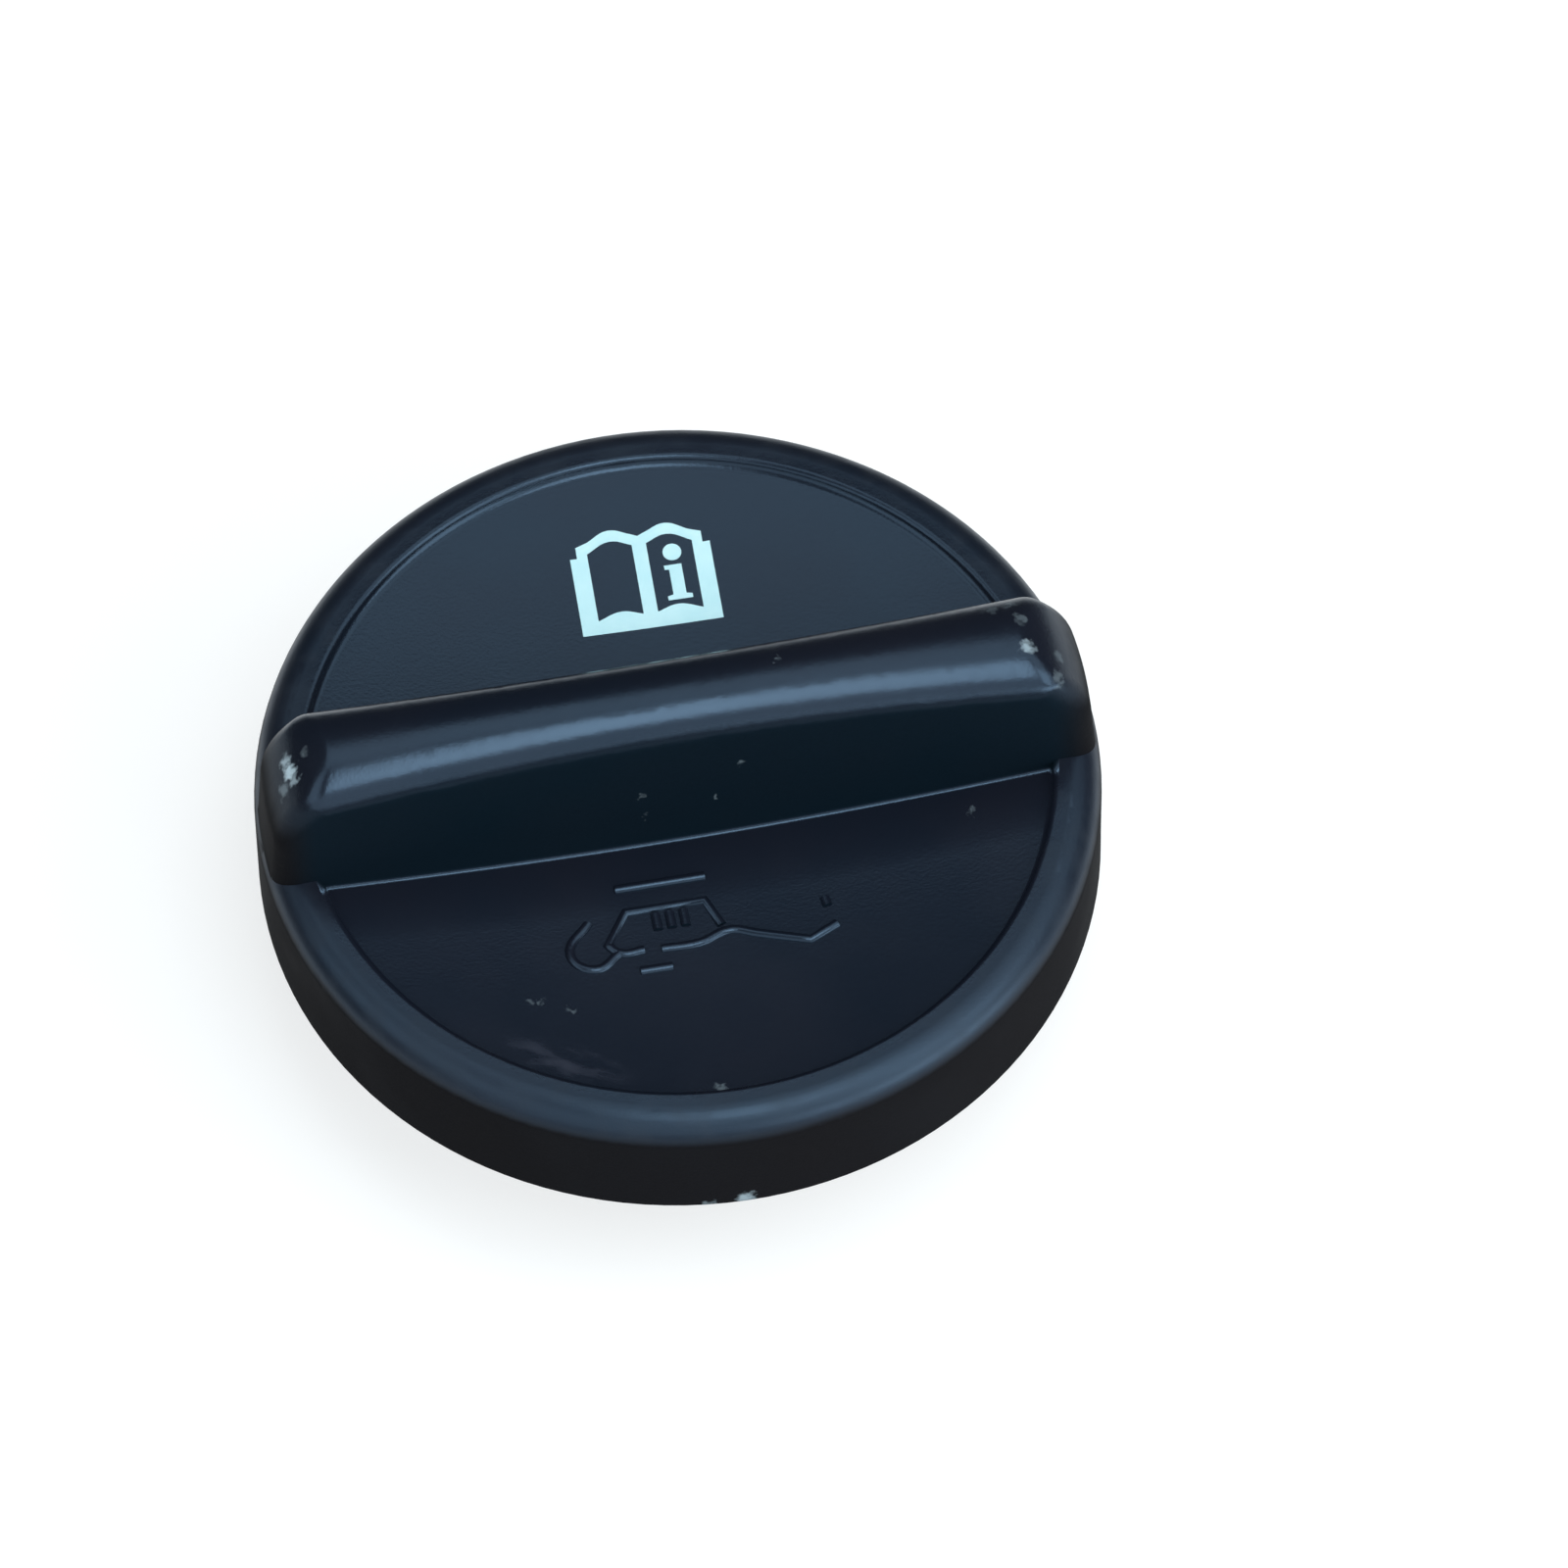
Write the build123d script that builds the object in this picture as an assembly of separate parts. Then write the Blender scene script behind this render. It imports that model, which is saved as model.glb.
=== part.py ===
"""Oil filler cap of a car engine: a quarter-turn cover, its bayonet plug and the seal between them.

Millimetres, +Z up. The origin is the middle of the stem's lower end, on the turning axis.
The grip bar runs along X.
"""

import os
from math import acos, atan2, cos, degrees, hypot, radians, sin, tan

from build123d import *

# Cover: the moulded cap with its skirt, rim and two sunken pans
cover_diameter = 64.0
skirt_height = 10.6
skirt_wall = 2.4
skirt_draft_deg = 1.0
skirt_edge_bevel = 0.3
rim_width = 4.0
rim_rise = 1.1
rim_wall_lean_deg = 25.0
rim_bevel_drop = 0.3
rim_bevel_lean_deg = 55.0
rim_flat = 0.8
pan_dish = 1.6
pan_thickness = 2.0

# Grip: the waisted, round-crowned bar across the whole cover
grip_rise = 13.7
grip_arch = 0.8
grip_foot_width = 9.3
grip_foot_end_width = 9.9
grip_crown_width = 7.5
grip_crown_end_width = 9.9
grip_crown_height = 2.7
grip_end_inset = 0.4
grip_end_lean_deg = 5.0
grip_shoulder_round = 8.0
grip_end_round = 2.0
grip_foot_bevel = 0.4
grip_wall = 2.0

# Plug: the disc under the cover, its stem and two bayonet lugs
disc_thickness = 2.0
stem_diameter = 38.0
stem_wall = 2.4
stem_drop = 14.5
stem_lead_in = 0.8
pilot_relief = 0.3
pilot_gap = 0.6
stem_web_thickness = 1.8
stem_web_recess = 4.0
lug_span_deg = 50.0
lug_reach = 3.6
lug_thickness = 3.6
lug_corner_round = 1.0
ramp_share = 0.4
ramp_deg = 9.0
stop_span_deg = 8.0
stop_reach = 2.2
drive_height = 8.0
drive_length = 40.0

# Seal: the rubber ring that lies in a groove at the root of the stem
seal_width = 6.4
seal_thickness = 2.2
seal_bead_height = 0.4
seal_bead_width = 2.0
seal_groove_depth = 0.8
collar_room = 5.6

# Snap bead inside the skirt, and the fits
bead_reach = 0.6
bead_height = 1.2
disc_clearance = 0.2
bead_clearance = 0.1
drive_clearance = 0.2
seal_clearance = 0.1
stop_clearance = 0.4

# Levels and radii that follow
cover_radius = cover_diameter / 2
skirt_z = stem_drop
rim_z = skirt_z + skirt_height
pan_edge_z = rim_z - rim_rise
pan_z = pan_edge_z - pan_dish
pan_under_z = pan_z - pan_thickness
disc_under_z = pan_under_z - disc_thickness
crown_z = pan_z + grip_rise
skirt_inner_radius = cover_radius - skirt_wall
rim_radius = cover_radius - (skirt_height - skirt_edge_bevel) * tan(radians(skirt_draft_deg))
pan_radius = rim_radius - rim_width
grip_reach = rim_radius - grip_end_inset
disc_radius = skirt_inner_radius - disc_clearance
stem_radius = stem_diameter / 2
bore_radius = stem_radius - stem_wall
pilot_radius = stem_radius - pilot_relief
groove_radius = stem_radius - seal_groove_depth
seal_inner_radius = groove_radius + seal_clearance
seal_outer_radius = seal_inner_radius + seal_width
seal_under_z = disc_under_z - seal_thickness
lug_top_z = seal_under_z - seal_bead_height - collar_room
lug_under_z = lug_top_z - lug_thickness
pilot_top_z = lug_under_z - pilot_gap


def lathe(outline, rounding=None, dish=None):
    """Turn an (r, z) outline about Z, once the corner that rounding numbers has its radius.

    A dish is a point on the axis: the outline's end then reaches it by an arc that is level there.
    """
    with BuildSketch(Plane.YZ) as section:
        with BuildLine():
            Polyline(*outline)
            if dish:
                TangentArc(dish, outline[-1], tangent=(1, 0))
            Line(dish or outline[-1], outline[0])
        make_face()
        if rounding:
            corner, radius = rounding
            fillet(section.vertices().sort_by_distance(Vector(*outline[corner]))[0], radius)
    return revolve(section.sketch, axis=Axis.Z)


def cover_body():
    """Skirt, round rim and pans as one turned shell, with the snap bead inside the skirt."""
    bead_z = disc_under_z - bead_clearance
    bevel_radius = pan_radius + (rim_rise - rim_bevel_drop) * tan(radians(rim_wall_lean_deg))
    top_radius = bevel_radius + rim_bevel_drop * tan(radians(rim_bevel_lean_deg))
    outline = [
        (0, pan_under_z),
        (skirt_inner_radius, pan_under_z),
        (skirt_inner_radius, bead_z),
        (skirt_inner_radius - bead_reach, bead_z - bead_height / 2),
        (skirt_inner_radius, bead_z - bead_height),
        (skirt_inner_radius, skirt_z),
        (cover_radius - skirt_edge_bevel, skirt_z),
        (cover_radius, skirt_z + skirt_edge_bevel),
        (rim_radius, rim_z),
        (top_radius, rim_z),
        (bevel_radius, rim_z - rim_bevel_drop),
        (pan_radius, pan_edge_z),
    ]
    rim_round = rim_radius - top_radius - rim_flat
    return lathe(outline, (8, rim_round), dish=(0, pan_z))


def grip_section(x):
    """Section of the grip at x: straight flanks that run tangent into an elliptical crown."""
    share = (x / grip_reach) ** 2
    foot = (grip_foot_width + (grip_foot_end_width - grip_foot_width) * share) / 2
    crown = (grip_crown_width + (grip_crown_end_width - grip_crown_width) * share) / 2
    crown_base_z = crown_z - grip_arch * share - grip_crown_height
    # With heights stretched until the crown is a circle, the flank is a tangent from the foot
    rise = (crown_base_z - pan_z) * crown / grip_crown_height
    start = acos(crown / hypot(foot, rise)) - atan2(rise, foot)
    tangent = (crown * cos(start), crown_base_z + grip_crown_height * sin(start))
    slope = (tangent[0] - foot) / (tangent[1] - pan_z)
    root_z = pan_z - pan_thickness / 2
    root = foot + slope * (root_z - pan_z)
    with BuildSketch(Plane.YZ.offset(x)) as section:
        with BuildLine():
            Line((-tangent[0], tangent[1]), (-root, root_z))
            Line((-root, root_z), (root, root_z))
            Line((root, root_z), tangent)
            EllipticalCenterArc(
                (0, crown_base_z),
                crown,
                grip_crown_height,
                degrees(start),
                arc_size=180 - 2 * degrees(start),
            )
        make_face()
    return section.sketch


def grip_bar():
    """The bar lofted along X, trimmed to leaning round-shouldered ends and softened there."""
    stations = [-1.0, -0.5, 0.0, 0.5, 1.0]
    bar = loft([grip_section(cover_radius * station) for station in stations])
    lean = tan(radians(grip_end_lean_deg))
    bar &= lathe(
        [
            (0, pan_under_z),
            (grip_reach + (rim_z - pan_under_z) * lean, pan_under_z),
            (grip_reach - (crown_z - rim_z) * lean, crown_z),
            (0, crown_z),
        ],
        (2, grip_shoulder_round),
    )
    ends = bar.faces().filter_by(GeomType.CONE) + bar.faces().filter_by(GeomType.TORUS)
    borders = [edge for face in ends for edge in face.edges() if edge.center().Z > pan_z]
    outer = [edge for edge in borders if sum(edge.is_same(other) for other in borders) == 1]
    return fillet(outer, grip_end_round)


def grip_core(clearance, length, height):
    """The tapered slot that hollows the grip, or with a clearance the blade that enters it."""
    depth = crown_z - grip_arch - grip_wall - pan_under_z
    half_base = grip_foot_width / 2 - grip_wall
    half_tip = grip_crown_width / 2 - grip_wall
    half_top = half_base + (half_tip - half_base) * height / depth
    with BuildSketch(Plane.YZ) as section:
        with BuildLine():
            Polyline(
                (clearance - half_base, pan_under_z),
                (half_base - clearance, pan_under_z),
                (half_top - clearance, pan_under_z + height),
                (clearance - half_top, pan_under_z + height),
                close=True,
            )
        make_face()
    return extrude(section.sketch, length / 2, both=True)


def cap_cover():
    core_length = 2 * (grip_reach - grip_end_round - grip_wall)
    core_height = crown_z - grip_arch - grip_wall - pan_under_z
    cover = cover_body() + grip_bar() - grip_core(0, core_length, core_height)
    pans = cover.faces().filter_by(GeomType.SPHERE)
    foot_edges = [edge for edge in pans.edges() if abs(edge.center().Y) < grip_foot_width]
    return chamfer(foot_edges, grip_foot_bevel)


def ring_block(inner_radius, outer_radius, low_z, high_z, span_deg):
    """Piece of a square-edged ring, from the X axis on through the given angle."""
    with BuildSketch(Plane.XZ) as section:
        with BuildLine():
            Polyline(
                (inner_radius, low_z),
                (outer_radius, low_z),
                (outer_radius, high_z),
                (inner_radius, high_z),
                close=True,
            )
        make_face()
    return revolve(section.sketch, axis=Axis.Z, revolution_arc=span_deg)


def bayonet_lug():
    """One lug on +X: a curved block with a ramped leading end and a stop behind its trailing end."""
    inner_radius = stem_radius - stem_wall / 2
    outer_radius = stem_radius + lug_reach
    lug = Rot(0, 0, -lug_span_deg / 2) * ring_block(
        inner_radius, outer_radius, lug_under_z, lug_top_z, lug_span_deg
    )
    corners = [
        edge
        for edge in lug.edges().filter_by(Axis.Z)
        if hypot(edge.center().X, edge.center().Y) > stem_radius
    ]
    lug = fillet(corners, lug_corner_round)
    ramp_start = -outer_radius * sin(radians(lug_span_deg / 2)) * (1 - 2 * ramp_share)
    ramp = Box(
        2 * outer_radius,
        2 * outer_radius,
        lug_thickness,
        align=(Align.CENTER, Align.MAX, Align.MIN),
    )
    lug -= Pos(stem_radius, ramp_start, lug_top_z) * Rot(ramp_deg, 0, 0) * ramp
    stop = Rot(0, 0, lug_span_deg / 2 - stop_span_deg) * ring_block(
        inner_radius,
        stem_radius + stop_reach,
        lug_top_z,
        seal_under_z - seal_bead_height - stop_clearance,
        stop_span_deg,
    )
    return lug + stop


def bayonet_plug():
    """Disc, grooved stem with its pilot end, web and drive blade, and a lug on either side."""
    groove_under_z = seal_under_z - seal_clearance
    outline = [
        (0, pan_under_z),
        (disc_radius, pan_under_z),
        (disc_radius, disc_under_z),
        (groove_radius, disc_under_z),
        (groove_radius, groove_under_z),
        (stem_radius, groove_under_z),
        (stem_radius, pilot_top_z),
        (pilot_radius, pilot_top_z),
        (pilot_radius, stem_lead_in),
        (pilot_radius - stem_lead_in, 0),
        (bore_radius, 0),
        (bore_radius, disc_under_z),
        (0, disc_under_z),
    ]
    plug = lathe(outline)
    plug += Pos(0, 0, stem_web_recess) * Box(
        2 * bore_radius + stem_wall,
        stem_web_thickness,
        disc_under_z + disc_thickness / 2 - stem_web_recess,
        align=(Align.CENTER, Align.CENTER, Align.MIN),
    )
    plug += grip_core(drive_clearance, drive_length, drive_height)
    for side in (0, 180):
        plug += Rot(0, 0, side) * bayonet_lug()
    return plug


def seal_ring():
    """Flat rubber ring with one pointed sealing bead on its lower face."""
    bead_radius = (seal_inner_radius + seal_outer_radius) / 2
    outline = [
        (seal_inner_radius, disc_under_z),
        (seal_outer_radius, disc_under_z),
        (seal_outer_radius, seal_under_z),
        (bead_radius + seal_bead_width / 2, seal_under_z),
        (bead_radius, seal_under_z - seal_bead_height),
        (bead_radius - seal_bead_width / 2, seal_under_z),
        (seal_inner_radius, seal_under_z),
    ]
    return lathe(outline)


os.makedirs("parts", exist_ok=True)
for name, solid in {
    "cap_cover": cap_cover(),
    "bayonet_plug": bayonet_plug(),
    "seal_ring": seal_ring(),
}.items():
    export_step(solid, f"parts/{name}.step")
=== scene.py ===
"""Oil filler cap: the looks of its three pieces and two signs, shown in a small studio."""

from math import cos, hypot, pi, radians, sin, sqrt, tan

import bmesh
import bpy
from mathutils import Matrix, Vector


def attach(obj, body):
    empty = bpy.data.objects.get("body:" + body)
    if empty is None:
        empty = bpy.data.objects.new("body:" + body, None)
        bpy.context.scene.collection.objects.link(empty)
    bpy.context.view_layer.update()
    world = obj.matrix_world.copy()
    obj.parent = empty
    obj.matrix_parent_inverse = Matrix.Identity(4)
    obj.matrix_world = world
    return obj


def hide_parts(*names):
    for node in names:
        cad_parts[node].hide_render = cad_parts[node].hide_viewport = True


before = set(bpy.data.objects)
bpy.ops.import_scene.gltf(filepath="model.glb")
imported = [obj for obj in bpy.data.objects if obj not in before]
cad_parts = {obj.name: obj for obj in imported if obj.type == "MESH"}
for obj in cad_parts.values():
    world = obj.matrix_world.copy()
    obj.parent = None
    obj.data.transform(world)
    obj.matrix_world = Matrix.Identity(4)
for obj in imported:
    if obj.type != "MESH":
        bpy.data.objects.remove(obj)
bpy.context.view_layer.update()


# Bayonet plug: the lower half of the cap, moulded in one shot from stiff glass-filled plastic.
# Its disc is snapped and welded into the cover from below, so only the stem and lugs are seen.

mm = 0.001


def merged_copy(node, name, smooth_deg):
    """A CAD node's triangles joined at their corners, smooth where they meet below an angle."""
    shell = bmesh.new()
    shell.from_mesh(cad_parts[node].data)
    bmesh.ops.remove_doubles(shell, verts=shell.verts, dist=0.001 * mm)
    for face in shell.faces:
        face.smooth = True
    for edge in shell.edges:
        edge.smooth = edge.calc_face_angle(0.0) < radians(smooth_deg)
    mesh = bpy.data.meshes.new(name)
    shell.to_mesh(mesh)
    shell.free()
    if "custom_normal" in mesh.attributes:
        mesh.attributes.remove(mesh.attributes["custom_normal"])
    piece = bpy.data.objects.new(name, mesh)
    bpy.context.scene.collection.objects.link(piece)
    shading = piece.modifiers.new("even_shading", "WEIGHTED_NORMAL")
    shading.mode = "FACE_AREA_WITH_ANGLE"
    shading.keep_sharp = True
    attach(piece, "root")
    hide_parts(node)
    return piece


def add_node(tree, kind, sockets=None, **settings):
    """A node with its settings, each named socket set to a value or joined to an output."""
    node = tree.nodes.new(kind)
    for setting, value in settings.items():
        setattr(node, setting, value)
    for socket, value in (sockets or {}).items():
        if isinstance(value, bpy.types.NodeSocket):
            tree.links.new(value, node.inputs[socket])
        else:
            node.inputs[socket].default_value = value
    return node


def new_group(name, inputs, outputs):
    """An empty shader node group with its named sockets, and its input and output nodes."""
    group = bpy.data.node_groups.new(name, "ShaderNodeTree")
    for socket, kind in inputs.items():
        group.interface.new_socket(socket, in_out="INPUT", socket_type=kind)
    for socket, kind in outputs.items():
        group.interface.new_socket(socket, in_out="OUTPUT", socket_type=kind)
    return group, group.nodes.new("NodeGroupInput"), group.nodes.new("NodeGroupOutput")


def set_range(tree, value, low, high, to_low=0.0, to_high=1.0):
    """The value moved from one range to another, smooth at both ends."""
    sockets = {0: value, 1: low, 2: high, 3: to_low, 4: to_high}
    moved = add_node(tree, "ShaderNodeMapRange", sockets, interpolation_type="SMOOTHSTEP")
    return moved.outputs[0]


def mix_colours(tree, factor, first, second):
    """Two colours mixed by a factor."""
    sockets = {0: factor, 6: first, 7: second}
    return add_node(tree, "ShaderNodeMix", sockets, data_type="RGBA").outputs[2]


def do_math(tree, operation, first, second):
    """One math step on two values."""
    sockets = {0: first, 1: second}
    return add_node(tree, "ShaderNodeMath", sockets, operation=operation).outputs[0]


# The spark-eroded mould leaves a fine grain, and cooling leaves broad uneven patches
moulded_grain, grain_in, grain_out = new_group(
    "moulded_grain",
    {
        "Vector": "NodeSocketVector",
        "Grain Scale": "NodeSocketFloat",
        "Patch Scale": "NodeSocketFloat",
    },
    {"Grain": "NodeSocketFloat", "Patches": "NodeSocketFloat"},
)
noise_low, noise_high = 0.25, 0.75
for effect, scale, detail in (("Grain", "Grain Scale", 2.0), ("Patches", "Patch Scale", 3.0)):
    noise = add_node(
        moulded_grain,
        "ShaderNodeTexNoise",
        {
            "Vector": grain_in.outputs["Vector"],
            "Scale": grain_in.outputs[scale],
            "Detail": detail,
        },
    ).outputs["Fac"]
    spread = set_range(moulded_grain, noise, noise_low, noise_high)
    moulded_grain.links.new(spread, grain_out.inputs[effect])


def new_material(name, constants, grain_scale, patch_scale):
    """A Principled material with its constants; its tree, shader and grain."""
    material = bpy.data.materials.new(name)
    material.use_nodes = True
    tree = material.node_tree
    shader = tree.nodes["Principled BSDF"]
    for socket, value in constants.items():
        shader.inputs[socket].default_value = value
    where = add_node(tree, "ShaderNodeTexCoord").outputs["Object"]
    scales = {"Vector": where, "Grain Scale": grain_scale, "Patch Scale": patch_scale}
    grain = add_node(tree, "ShaderNodeGroup", scales, node_tree=moulded_grain).outputs
    return material, tree, shader, grain


def give_finish(tree, shader, colour, roughness, height, strength, depth):
    """Join a material's colour, roughness and bump height to its shader."""
    tree.links.new(colour, shader.inputs["Base Color"])
    tree.links.new(roughness, shader.inputs["Roughness"])
    sockets = {"Height": height, "Strength": strength, "Distance": depth}
    bump = add_node(tree, "ShaderNodeBump", sockets)
    tree.links.new(bump.outputs["Normal"], shader.inputs["Normal"])


plug = merged_copy("bayonet_plug", "bayonet_plug_moulding", smooth_deg=35)
plug_plastic, tree, shader, grain = new_material(
    "plug_plastic", {"Specular IOR Level": 0.4}, grain_scale=3000.0, patch_scale=140.0
)
plug_black = mix_colours(
    tree, grain["Patches"], (0.014, 0.015, 0.017, 1), (0.024, 0.025, 0.028, 1)
)
give_finish(
    tree,
    shader,
    colour=plug_black,
    roughness=set_range(tree, grain["Patches"], 0.0, 1.0, to_low=0.46, to_high=0.6),
    height=grain["Grain"],
    strength=0.3,
    depth=0.03 * mm,
)
plug.data.materials.append(plug_plastic)


# Seal ring: a flat ring of oil-proof rubber with one pressed sealing bead, dull from use.
# It is stretched over the stem and stays in the groove under the disc.

seal = merged_copy("seal_ring", "seal_ring_rubber", smooth_deg=35)
seal_rubber, tree, shader, grain = new_material(
    "seal_rubber", {"Specular IOR Level": 0.3}, grain_scale=1800.0, patch_scale=220.0
)
seal_black = mix_colours(
    tree, grain["Patches"], (0.011, 0.011, 0.012, 1), (0.02, 0.02, 0.02, 1)
)
give_finish(
    tree,
    shader,
    colour=seal_black,
    roughness=set_range(tree, grain["Patches"], 0.0, 1.0, to_low=0.66, to_high=0.85),
    height=grain["Grain"],
    strength=0.4,
    depth=0.04 * mm,
)
seal.data.materials.append(seal_rubber)


# Cover: the satin black moulding with its skirt, rim, dished pans and grip bar, its blue cast
# painted cool light.
# One shot of nylon, worn by hands and tools: chips on the grip's ends, specks, rubs and a smear.

cover = merged_copy("cap_cover", "cap_cover_moulding", smooth_deg=28)


def between(value, limits):
    """Whether a value lies between two limits."""
    return limits[0] < value < limits[1]


# The step up to the rim and the foot of the grip are moulded soft: the corners of these narrow
# faces take the facing of the wide faces beside them, so each strip shades as a small round.
# Their places are in mm, and their lean is the upward part of a face's normal.
step_radii, step_levels = (27.85, 28.7), (24.1, 25.3)
foot_sides, foot_end, foot_levels = (4.5, 5.2), 27.6, (22.0, 24.4)
strip_lean = (0.35, 0.95)
even = cover.evaluated_get(bpy.context.evaluated_depsgraph_get()).data
facings = [corner.vector.copy() for corner in even.corner_normals]
cover.modifiers.clear()
wide, narrow, strips = {}, {}, []
for face in cover.data.polygons:
    x, y, z = face.center / mm
    off_grip = abs(y) > foot_sides[1]
    on_step = off_grip and between(hypot(x, y), step_radii) and between(z, step_levels)
    beside_grip = abs(x) < foot_end and between(abs(y), foot_sides)
    on_foot = beside_grip and between(z, foot_levels)
    in_strip = (on_step or on_foot) and between(face.normal.z, strip_lean)
    if in_strip:
        strips.append(face)
    facing_sums = narrow if in_strip else wide
    for corner in face.vertices:
        facing_sums[corner] = facing_sums.get(corner, Vector()) + face.area * face.normal
for face in strips:
    for loop in face.loop_indices:
        corner = cover.data.loops[loop].vertex_index
        facings[loop] = wide.get(corner, narrow[corner]).normalized()
cover.data.normals_split_custom_set(facings)

# A chip or speck is a ball round its middle, cut ragged by noise in the coordinates. It is full
# strength up to the core, a share of its radius.
ragged_scale, ragged_depth = 1700.0, 1.6 * mm
spot_core = 0.2
spot_mark, spot_in, spot_out = new_group(
    "spot_mark",
    {
        "Vector": "NodeSocketVector",
        "Middle": "NodeSocketVector",
        "Radius": "NodeSocketFloat",
        "Strength": "NodeSocketFloat",
    },
    {"Mask": "NodeSocketFloat"},
)
ragged_noise = add_node(
    spot_mark,
    "ShaderNodeTexNoise",
    {"Vector": spot_in.outputs["Vector"], "Scale": ragged_scale, "Detail": 3.0},
)
ragged_shift = add_node(
    spot_mark,
    "ShaderNodeVectorMath",
    {0: ragged_noise.outputs["Color"], 1: (0.5, 0.5, 0.5)},
    operation="SUBTRACT",
)
ragged = add_node(
    spot_mark,
    "ShaderNodeVectorMath",
    {0: ragged_shift.outputs[0], 1: (ragged_depth,) * 3, 2: spot_in.outputs["Vector"]},
    operation="MULTIPLY_ADD",
)
spot_distance = add_node(
    spot_mark,
    "ShaderNodeVectorMath",
    {0: ragged.outputs[0], 1: spot_in.outputs["Middle"]},
    operation="DISTANCE",
)
spot_share = do_math(
    spot_mark, "DIVIDE", spot_distance.outputs["Value"], spot_in.outputs["Radius"]
)
spot_fade = set_range(spot_mark, spot_share, low=1.0, high=spot_core)
spot_mask = do_math(spot_mark, "MULTIPLY", spot_fade, spot_in.outputs["Strength"])
spot_mark.links.new(spot_mask, spot_out.inputs["Mask"])

# The blue specular tint is painted cool light: it colours the highlights as a cool lamp would.
cover_plastic, tree, shader, grain = new_material(
    "cover_plastic",
    {"Specular IOR Level": 0.6, "Specular Tint": (0.47, 0.71, 1.0, 1)},
    grain_scale=4200.0,
    patch_scale=75.0,
)
coordinates = add_node(tree, "ShaderNodeTexCoord").outputs
where, facing = coordinates["Object"], coordinates["Normal"]
# Each spot's middle and radius in mm, and its strength
chips = 0.0
for x, y, z, radius, strength in (
    # Left end of the grip
    (-29.2, 0.7, 33.3, 0.8, 0.7),
    (-29.0, -0.3, 33.5, 0.9, 1.0),
    (-28.8, -1.3, 33.7, 0.7, 0.5),
    (-29.7, -1.3, 32.7, 0.9, 0.25),
    (-27.8, 0.3, 34.6, 0.6, 0.12),
    # Right end of the grip
    (26.4, -1.1, 35.4, 0.8, 0.5),
    (26.3, 1.5, 35.3, 0.7, 0.13),
    (25.9, 3.1, 34.8, 0.7, 0.09),
    (24.4, 2.9, 35.0, 0.7, 0.08),
    (28.7, -1.4, 33.8, 0.7, 0.1),
    (28.3, -3.4, 34.0, 0.8, 0.13),
    # Flank and crown of the grip
    (4.1, -4.0, 30.5, 0.4, 0.14),
    (2.1, -4.3, 26.8, 0.4, 0.16),
    (-3.5, -4.2, 28.4, 0.4, 0.1),
    (-3.3, -4.4, 25.8, 0.35, 0.08),
    (7.9, 0.8, 35.9, 0.45, 0.16),
    # Front pan
    (-14.3, -17.1, 23.6, 0.4, 0.09),
    (-13.4, -17.3, 23.6, 0.45, 0.12),
    (-11.4, -18.3, 23.6, 0.45, 0.12),
    (-1.9, -27.4, 24.0, 0.55, 0.16),
    (21.0, -7.1, 23.5, 0.4, 0.11),
    # Lower edge of the skirt
    (-0.9, -32.0, 15.2, 1.0, 0.5),
    (-3.6, -31.8, 14.9, 0.6, 0.2),
):
    sockets = {
        "Vector": where,
        "Middle": (x * mm, y * mm, z * mm),
        "Radius": radius * mm,
        "Strength": strength,
    }
    spot = add_node(tree, "ShaderNodeGroup", sockets, node_tree=spot_mark)
    chips = do_math(tree, "MAXIMUM", chips, spot.outputs["Mask"])
# A dried smear of oil lies as a long streak along the rim, in front on the left
smear_place = add_node(
    tree,
    "ShaderNodeMapping",
    {
        "Vector": where,
        "Location": (-12.6 * mm, -22.9 * mm, 23.9 * mm),
        "Rotation": (0, 0, radians(-27.5)),
        "Scale": (6.0 * mm, 2.0 * mm, 2.0 * mm),
    },
    vector_type="TEXTURE",
).outputs[0]
smear_size = add_node(tree, "ShaderNodeVectorMath", {0: smear_place}, operation="LENGTH")
smear_noise = add_node(
    tree, "ShaderNodeTexNoise", {"Vector": smear_place, "Scale": 1.7, "Detail": 6.0}
)
smear = do_math(
    tree,
    "MULTIPLY",
    set_range(tree, smear_size.outputs["Value"], low=1.0, high=0.3),
    set_range(tree, smear_noise.outputs["Fac"], low=0.42, high=0.66),
)
# Hands and rags reach the rim most, so it is rubbed duller in places
flat_place = add_node(
    tree, "ShaderNodeVectorMath", {0: where, 1: (1, 1, 0)}, operation="MULTIPLY"
)
from_axis = add_node(
    tree, "ShaderNodeVectorMath", {0: flat_place.outputs[0]}, operation="LENGTH"
).outputs["Value"]
rub_noise = add_node(
    tree, "ShaderNodeTexNoise", {"Vector": where, "Scale": 420.0, "Detail": 5.0}
)
rub = do_math(
    tree,
    "MULTIPLY",
    set_range(tree, from_axis, low=27.6 * mm, high=29.0 * mm),
    set_range(tree, rub_noise.outputs["Fac"], low=0.42, high=0.72),
)
# The clean black holds a painted blue cast standing in for cool light.
clean_black_painted_cool = mix_colours(
    tree, grain["Patches"], (0.0062, 0.0088, 0.0155, 1), (0.0085, 0.0092, 0.0152, 1)
)
rubbed_colour = mix_colours(tree, rub, clean_black_painted_cool, (0.0095, 0.0108, 0.0165, 1))
smeared_colour = mix_colours(tree, smear, rubbed_colour, (0.021, 0.0205, 0.03, 1))
chip_colour = (0.5, 0.6, 0.66, 1)
chip_depth = 2.0
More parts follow.
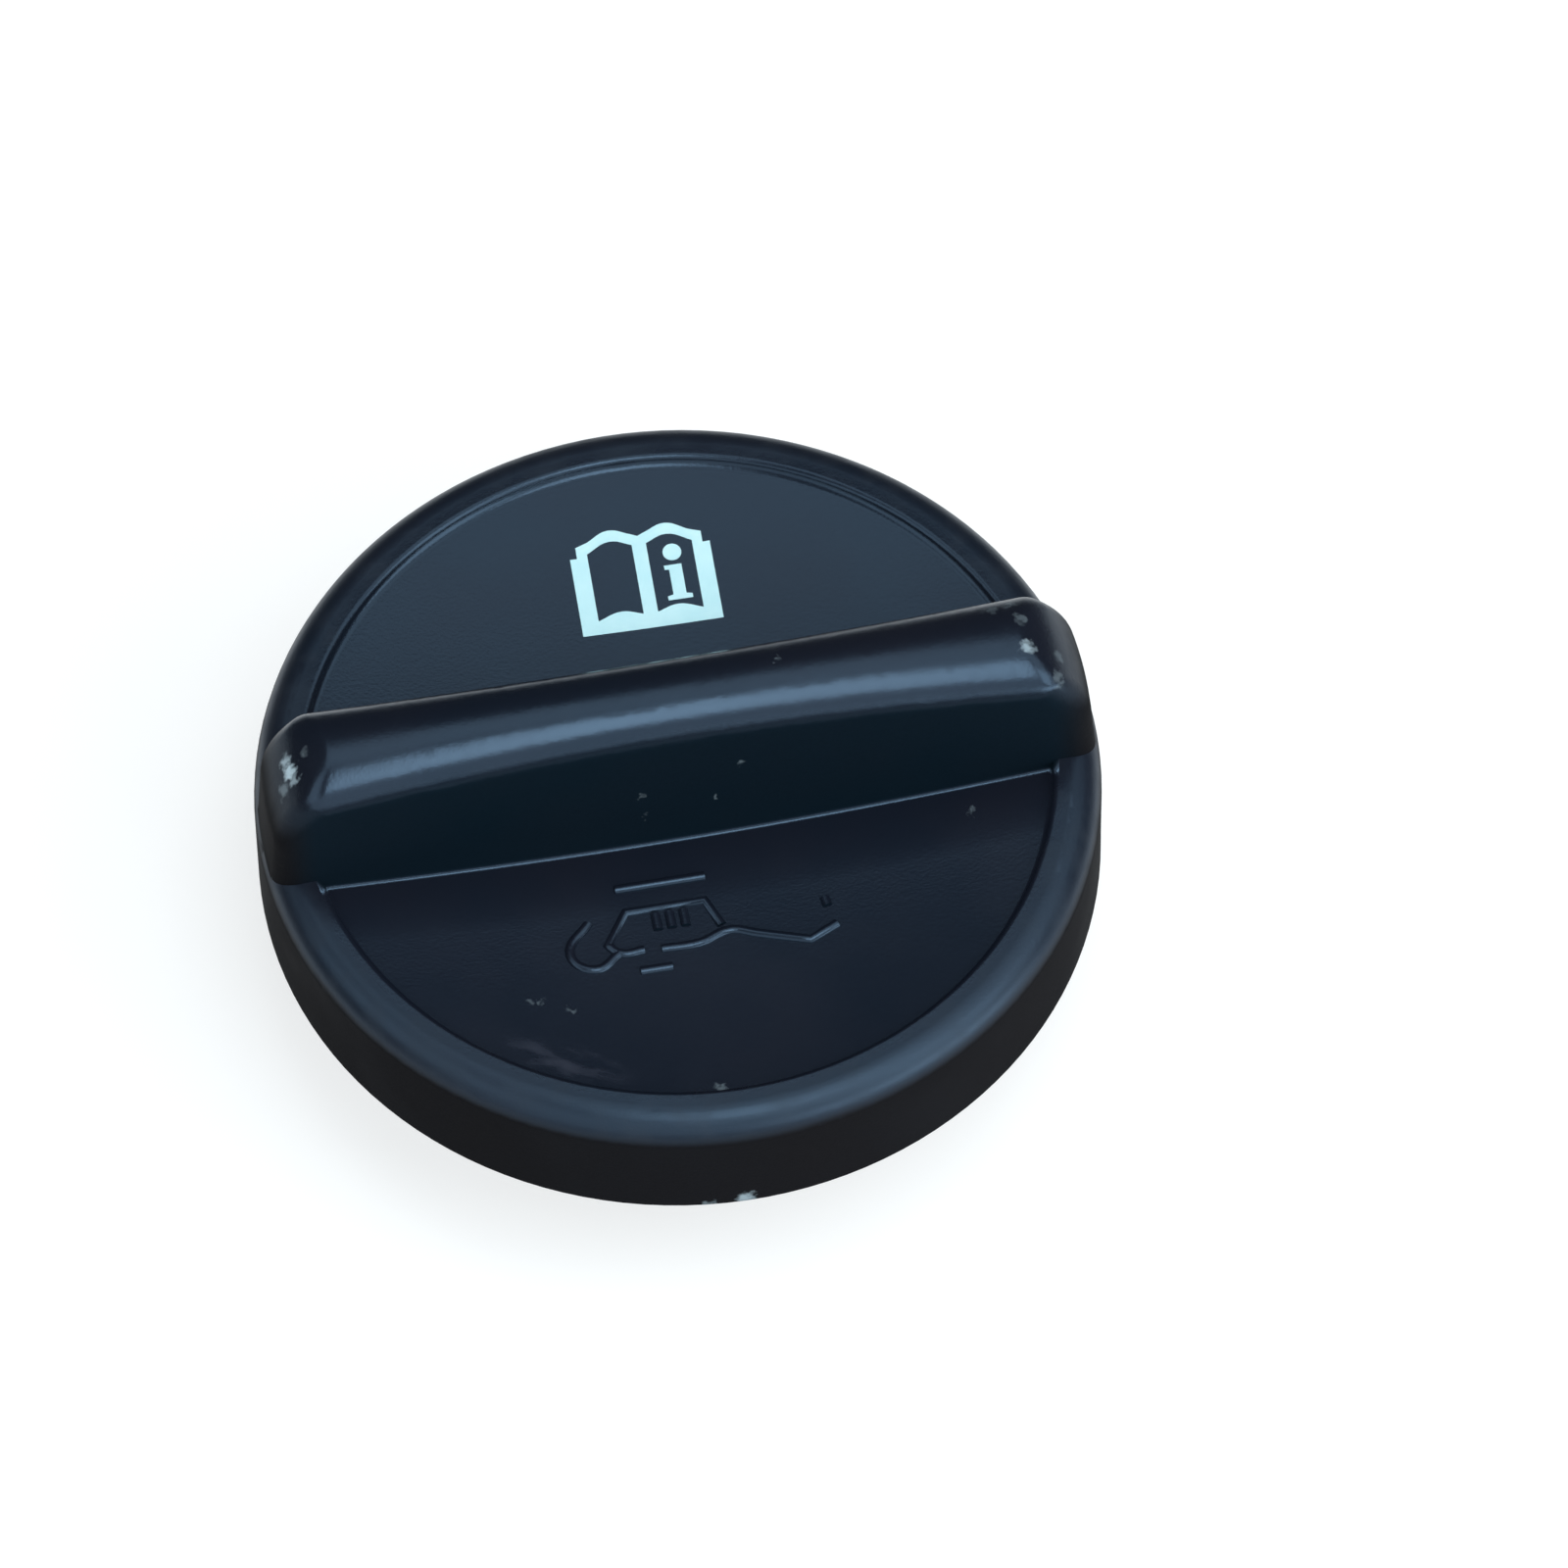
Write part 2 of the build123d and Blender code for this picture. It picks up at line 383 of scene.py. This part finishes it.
# The rim, and whatever is rubbed, smeared or chipped, is rougher than the rest of the top
on_rim = set_range(tree, from_axis, low=28.6 * mm, high=30.0 * mm)
roughness = set_range(tree, grain["Patches"], 0.0, 1.0, to_low=0.22, to_high=0.26)
for mask, more in ((on_rim, 0.14), (rub, 0.08), (smear, 0.12), (chips, 0.2)):
    roughness = do_math(tree, "ADD", roughness, do_math(tree, "MULTIPLY", mask, more))
chipped_out = do_math(tree, "MULTIPLY", chips, chip_depth)
height = do_math(tree, "SUBTRACT", grain["Grain"], chipped_out)
give_finish(
    tree,
    shader,
    colour=mix_colours(tree, chips, smeared_colour, chip_colour),
    roughness=roughness,
    height=height,
    strength=0.12,
    depth=0.03 * mm,
)
# The mould's side walls are left plain, so skirt, flanks and ends are duller than the top
# The wall's paler blue specular tint is painted cool light as well.
wall = add_node(
    tree,
    "ShaderNodeBsdfPrincipled",
    {"Specular IOR Level": 0.04, "Specular Tint": (0.8, 0.88, 1.0, 1)},
)
# The wall colours are painted reflection: bluish on the flanks for a dark room, a darker warm
# grey on the skirt for dark surroundings.
flank_painted_reflection = mix_colours(
    tree, grain["Patches"], (0.0028, 0.0082, 0.0138, 1), (0.0038, 0.0085, 0.014, 1)
)
skirt_painted_reflection = mix_colours(
    tree, grain["Patches"], (0.0045, 0.0045, 0.006, 1), (0.007, 0.0064, 0.0074, 1)
)
on_skirt = set_range(tree, from_axis, low=28.0 * mm, high=31.0 * mm)
wall_painted_tones = mix_colours(tree, on_skirt, flank_painted_reflection, skirt_painted_reflection)
give_finish(
    tree,
    wall,
    colour=mix_colours(tree, chips, wall_painted_tones, chip_colour),
    roughness=set_range(tree, grain["Patches"], 0.0, 1.0, to_low=0.7, to_high=0.85),
    height=height,
    strength=0.2,
    depth=0.03 * mm,
)
# A face is satin by how far it looks up, and the satin reaches further down on the rim's round
upward = add_node(tree, "ShaderNodeSeparateXYZ", {0: facing}).outputs["Z"]
level = add_node(tree, "ShaderNodeSeparateXYZ", {0: where}).outputs["Z"]
below_grip = set_range(tree, level, low=26.2 * mm, high=25.2 * mm)
rim_round = do_math(tree, "MULTIPLY", on_rim, below_grip)
plain_below = set_range(tree, rim_round, 0.0, 1.0, to_low=0.2, to_high=0.1)
satin_above = set_range(tree, rim_round, 0.0, 1.0, to_low=0.75, to_high=0.6)
# Faces that look sideways take the wall's painted reflection colours.
top_share = set_range(tree, upward, plain_below, satin_above)
both = add_node(
    tree, "ShaderNodeMixShader", {0: top_share, 1: wall.outputs[0], 2: shader.outputs[0]}
)
tree.links.new(both.outputs[0], tree.nodes["Material Output"].inputs["Surface"])
cover.data.materials.append(cover_plastic)


# Book sign: an open book with an i, screen-printed in white ink on the rear pan.
# The ink film is thin and follows the dish, and its lower edge lies along the grip.

# All sizes of the signs are in mm until their meshes are scaled
pan_middle_z = 22.4
pan_dish = 1.6
pan_radius = 27.82
dish_radius = (pan_radius**2 + pan_dish**2) / (2 * pan_dish)
book_place = (0.75, 14.1)
book_turn_deg = -1.5
ink_film = 0.06
ink_sunk = 0.01
dot_x, dot_y, dot_radius = 2.4, 6.3, 0.72


def pan_level(x, y):
    """Height of the dished pan under a point."""
    return pan_middle_z + dish_radius - sqrt(dish_radius**2 - x * x - y * y)


def add_outline(curve, points, closed=True):
    """One line of a sign; a point marked True is rounded, the others are corners."""
    line = curve.splines.new("BEZIER")
    line.bezier_points.add(len(points) - 1)
    for point, (place, rounded) in zip(line.bezier_points, points):
        point.co = (*place, 0.0) if len(place) == 2 else place
        point.handle_left_type = point.handle_right_type = "AUTO" if rounded else "VECTOR"
    line.use_cyclic_u = closed


book_lines = bpy.data.curves.new("book_lines", "CURVE")
book_lines.dimensions = "2D"
book_lines.fill_mode = "BOTH"
book_lines.resolution_u = 6
book_lines.extrude = ink_film / 2
# Covers and page edges round the outside
add_outline(
    book_lines,
    [
        ((-5.4, 0.0), False),
        ((5.4, 0.0), False),
        ((5.4, 6.8), False),
        ((4.85, 6.8), False),
        ((4.85, 7.75), False),
        ((3.9, 8.1), False),
        ((2.2, 8.9), True),
        ((0.55, 8.35), False),
        ((0.0, 8.1), False),
        ((-0.55, 8.35), False),
        ((-2.2, 8.9), True),
        ((-3.9, 8.1), False),
        ((-4.85, 7.75), False),
        ((-4.85, 6.8), False),
        ((-5.4, 6.8), False),
    ],
)
# The bare fields of the two pages
for side in (-1, 1):
    add_outline(
        book_lines,
        [
            ((side * 0.55, 1.3), False),
            ((side * 0.55, 7.4), False),
            ((side * 2.2, 7.95), True),
            ((side * 4.05, 7.1), False),
            ((side * 4.05, 1.15), False),
            ((side * 2.2, 1.75), True),
        ],
    )
# The i: its dot and its stem with serifs
add_outline(
    book_lines,
    [
        ((dot_x + dot_radius * dx, dot_y + dot_radius * dy), True)
        for dx, dy in ((1, 0), (0, 1), (-1, 0), (0, -1))
    ],
)
add_outline(
    book_lines,
    [
        ((1.6, 5.2), False),
        ((2.95, 5.2), False),
        ((2.95, 2.6), False),
        ((3.4, 2.5), False),
        ((3.4, 2.15), False),
        ((1.5, 2.15), False),
        ((1.5, 2.5), False),
        ((1.95, 2.6), False),
        ((1.95, 4.8), False),
        ((1.6, 4.85), False),
    ],
)
book_pattern = bpy.data.objects.new("book_pattern", book_lines)
book_mesh = bpy.data.meshes.new_from_object(book_pattern)
bpy.data.objects.remove(book_pattern)
film = bmesh.new()
film.from_mesh(book_mesh)
# A cut every millimetre lets the film bend with the dish
for axis, cuts in ((0, range(-5, 6)), (1, range(1, 9))):
    for cut in cuts:
        point, normal = Vector((0, 0, 0)), Vector((0, 0, 0))
        point[axis], normal[axis] = cut, 1
        everything = film.verts[:] + film.edges[:] + film.faces[:]
        bmesh.ops.bisect_plane(film, geom=everything, plane_co=point, plane_no=normal)
bmesh.ops.remove_doubles(film, verts=film.verts, dist=1e-5)
book_turn = Matrix.Rotation(radians(book_turn_deg), 3, "Z")
bmesh.ops.rotate(film, verts=film.verts, cent=(0, 0, 0), matrix=book_turn)
bmesh.ops.translate(film, verts=film.verts, vec=(*book_place, ink_film / 2 - ink_sunk))
for vert in film.verts:
    vert.co.z += pan_level(vert.co.x, vert.co.y)
bmesh.ops.scale(film, verts=film.verts, vec=(mm, mm, mm))
bmesh.ops.recalc_face_normals(film, faces=film.faces)
film.to_mesh(book_mesh)
film.free()
book_mesh.name = "book_sign"
book_sign = bpy.data.objects.new("book_sign", book_mesh)
bpy.context.scene.collection.objects.link(book_sign)
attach(book_sign, "root")
white_ink, tree, shader, grain = new_material(
    "white_ink", {"Specular IOR Level": 0.3}, grain_scale=2600.0, patch_scale=500.0
)
# The white ink is given a painted cyan cast that stands in for cool light.
ink_white_painted_cyan = mix_colours(tree, grain["Patches"], (0.55, 0.83, 0.88, 1), (0.62, 0.88, 0.92, 1))
give_finish(
    tree,
    shader,
    colour=ink_white_painted_cyan,
    roughness=set_range(tree, grain["Patches"], 0.0, 1.0, to_low=0.45, to_high=0.6),
    height=grain["Grain"],
    strength=0.2,
    depth=0.03 * mm,
)
book_mesh.materials.append(white_ink)


# Oil can sign: raised lines on the front pan, moulded with the cover and in its own colour.
# The mould-maker's ball cutter leaves half-round ridges. The can's foot is towards the grip.

ridge_radius = 0.42
ridge_sunk = 0.14
ridge_smooth_deg = 50
can_lines = bpy.data.curves.new("can_lines", "CURVE")
can_lines.dimensions = "3D"
can_lines.resolution_u = 6
can_lines.bevel_depth = ridge_radius
can_lines.bevel_resolution = 3
can_lines.use_fill_caps = True
for stroke in (
    # Level line under the can
    [((-6.3, -8.35), False), ((0.5, -8.35), False)],
    # Top left of the can, its side, foot and other side, with room for the lid's neck
    [
        ((-5.1, -14.05), False),
        ((-6.9, -14.05), True),
        ((-7.7, -13.2), False),
        ((-5.9, -10.5), False),
        ((0.1, -10.5), False),
        ((0.95, -12.95), False),
    ],
    # Top of the can and upper side of the spout to its drooping tip
    [
        ((-3.8, -14.2), False),
        ((-0.9, -14.2), True),
        ((1.5, -13.5), True),
        ((3.4, -14.2), True),
        ((7.2, -15.6), False),
        ((9.4, -14.6), False),
    ],
    # Handle
    [
        ((-7.0, -14.05), False),
        ((-9.0, -15.2), True),
        ((-10.6, -13.6), True),
        ((-8.8, -11.0), False),
    ],
    # Lid
    [((-5.7, -15.9), False), ((-3.3, -15.9), False)],
    # Ribs on the can
    [((-3.75, -11.0), False), ((-3.75, -12.5), False)],
    [((-2.7, -11.0), False), ((-2.7, -12.5), False)],
    [((-1.65, -11.0), False), ((-1.65, -12.5), False)],
    # Drop from the spout
    [((9.0, -12.9), False), ((8.9, -12.1), False)],
):
    on_pan = [((x, y, pan_level(x, y) - ridge_sunk), rounded) for (x, y), rounded in stroke]
    add_outline(can_lines, on_pan, closed=False)
can_pattern = bpy.data.objects.new("can_pattern", can_lines)
can_mesh = bpy.data.meshes.new_from_object(can_pattern)
bpy.data.objects.remove(can_pattern)
ridges = bmesh.new()
ridges.from_mesh(can_mesh)
bmesh.ops.remove_doubles(ridges, verts=ridges.verts, dist=1e-4)
bmesh.ops.scale(ridges, verts=ridges.verts, vec=(mm, mm, mm))
bmesh.ops.recalc_face_normals(ridges, faces=ridges.faces)
for face in ridges.faces:
    face.smooth = True
for edge in ridges.edges:
    edge.smooth = edge.calc_face_angle(0.0) < radians(ridge_smooth_deg)
ridges.to_mesh(can_mesh)
ridges.free()
can_mesh.name = "oil_can_sign"
can_sign = bpy.data.objects.new("oil_can_sign", can_mesh)
bpy.context.scene.collection.objects.link(can_sign)
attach(can_sign, "root")
can_mesh.materials.clear()
can_mesh.materials.append(cover_plastic)


# Floor: a plain pale sheet under the cap. It stays white where the picture shows it, keeps the
# cap's soft shadow, and is less bright further off.

floor_radii = (0.0, 0.5, 4.0)
floor_steps = 64
white_to, dim_from = 0.12, 0.22
floor_glow = 0.66
floor_shape = bmesh.new()
sweep = [floor_shape.verts.new((radius, 0, 0)) for radius in floor_radii]
sweep_edges = [floor_shape.edges.new(pair) for pair in zip(sweep, sweep[1:])]
bmesh.ops.spin(
    floor_shape,
    geom=sweep + sweep_edges,
    cent=(0, 0, 0),
    axis=(0, 0, 1),
    angle=radians(360),
    steps=floor_steps,
    use_merge=True,
)
bmesh.ops.remove_doubles(floor_shape, verts=floor_shape.verts, dist=1e-5)
bmesh.ops.recalc_face_normals(floor_shape, faces=floor_shape.faces)
for face in floor_shape.faces:
    face.smooth = True
floor_mesh = bpy.data.meshes.new("floor")
floor_shape.to_mesh(floor_mesh)
floor_shape.free()
floor = bpy.data.objects.new("floor", floor_mesh)
bpy.context.scene.collection.objects.link(floor)
pale_floor = bpy.data.materials.new("pale_floor")
pale_floor.use_nodes = True
tree = pale_floor.node_tree
tree.nodes.clear()
where = add_node(tree, "ShaderNodeTexCoord").outputs["Object"]
from_cap = add_node(tree, "ShaderNodeVectorMath", {0: where}, operation="LENGTH")
further_off = set_range(tree, from_cap.outputs["Value"], white_to, dim_from)
near_white = mix_colours(tree, further_off, (1, 1, 1, 1), (0.1, 0.1, 0.1, 1))
# The glow is for the eye and for reflections; the cap is lit by the plain sheet alone
rays = add_node(tree, "ShaderNodeLightPath")
shown = do_math(tree, "MAXIMUM", rays.outputs["Is Camera Ray"], rays.outputs["Is Glossy Ray"])
shown = do_math(tree, "MAXIMUM", shown, rays.outputs["Is Transmission Ray"])
shade = add_node(tree, "ShaderNodeBsdfDiffuse", {"Color": (0.4, 0.4, 0.4, 1)})
glow = add_node(tree, "ShaderNodeEmission", {"Color": near_white, "Strength": floor_glow})
seen = add_node(tree, "ShaderNodeAddShader", {0: shade.outputs[0], 1: glow.outputs[0]})
plain = add_node(tree, "ShaderNodeBsdfDiffuse", {"Color": (0.8, 0.8, 0.8, 1)})
floor_mix = add_node(
    tree, "ShaderNodeMixShader", {0: shown, 1: plain.outputs[0], 2: seen.outputs[0]}
)
add_node(tree, "ShaderNodeOutputMaterial", {"Surface": floor_mix.outputs[0]})
floor_mesh.materials.append(pale_floor)


# Camera: the photograph's view, from 57.8 degrees above the floor and 9 degrees left of the
# grip's front, with its small tilt. The shift puts the cap where the photograph has it.

view_point = Vector((0, 0, 15.0 * mm))
view_distance = 0.64
azimuth, elevation, tilt = radians(-9.0), radians(57.8), radians(1.72)
back = Vector((sin(azimuth) * cos(elevation), -cos(azimuth) * cos(elevation), sin(elevation)))
level_right = Vector((cos(azimuth), sin(azimuth), 0))
level_up = back.cross(level_right)
right = level_right * cos(tilt) - level_up * sin(tilt)
up = level_right * sin(tilt) + level_up * cos(tilt)


def looking(place, right, up, back):
    """The placing of a camera or lamp from its place and its three directions."""
    return Matrix.Translation(place) @ Matrix((right, up, back)).transposed().to_4x4()


lens = bpy.data.cameras.new("camera")
lens.sensor_width = 36.0
lens.lens = 193.45
lens.shift_x = 0.0668
lens.shift_y = 0.0344
lens.clip_start = 0.05
lens.clip_end = 20.0
camera = bpy.data.objects.new("camera", lens)
camera.matrix_world = looking(view_point + view_distance * back, right, up, back)
bpy.context.scene.collection.objects.link(camera)
bpy.context.scene.camera = camera


# Studio light: six slightly cool soft boxes in a dim room. The strip almost overhead draws the
# highlight along the crown, the rear box lights the far pan, the right, front and left boxes the
# near pan and the rim, and the low one the right of the near rim.

overhead = Vector((0, 0, 1))
to_camera = Vector((back.x, back.y, 0)).normalized()
cool_white = (0.86, 0.96, 1.0)
# Degrees off the zenith to the right and to the front, distance, width, depth and radiance
for name, to_right_deg, to_front_deg, distance, width, depth, radiance in (
    ("key_strip", 8, 16, 0.7, 0.26, 0.38, 6.4),
    ("rear_box", 10, -18, 1.0, 1.5, 0.47, 1.45),
    ("right_box", 43.4, 22, 0.9, 0.5, 0.56, 3.7),
    ("front_box", -18, 57, 0.8, 1.1, 0.68, 1.2),
    ("left_box", -44.6, 12, 0.9, 0.52, 0.64, 1.6),
    ("low_right_box", 72, 68, 0.8, 0.85, 0.24, 5.5),
):
    lamp = bpy.data.lights.new(name, "AREA")
    lamp.shape = "RECTANGLE"
    lamp.size = width
    lamp.size_y = depth
    lamp.energy = radiance * pi * width * depth
    lamp.color = cool_white
    to_right = level_right * tan(radians(to_right_deg))
    to_front = to_camera * tan(radians(to_front_deg))
    to_lamp = (overhead + to_right + to_front).normalized()
    along = (level_right - to_lamp * level_right.dot(to_lamp)).normalized()
    soft_box = bpy.data.objects.new(name, lamp)
    soft_box.matrix_world = looking(
        view_point + to_lamp * distance, along, to_lamp.cross(along), to_lamp
    )
    bpy.context.scene.collection.objects.link(soft_box)
room = bpy.data.worlds.new("room")
room.use_nodes = True
room.node_tree.nodes["Background"].inputs["Color"].default_value = (0.8, 0.92, 1.0, 1)
room.node_tree.nodes["Background"].inputs["Strength"].default_value = 0.03
bpy.context.scene.world = room
bpy.context.scene.view_settings.view_transform = "Standard"
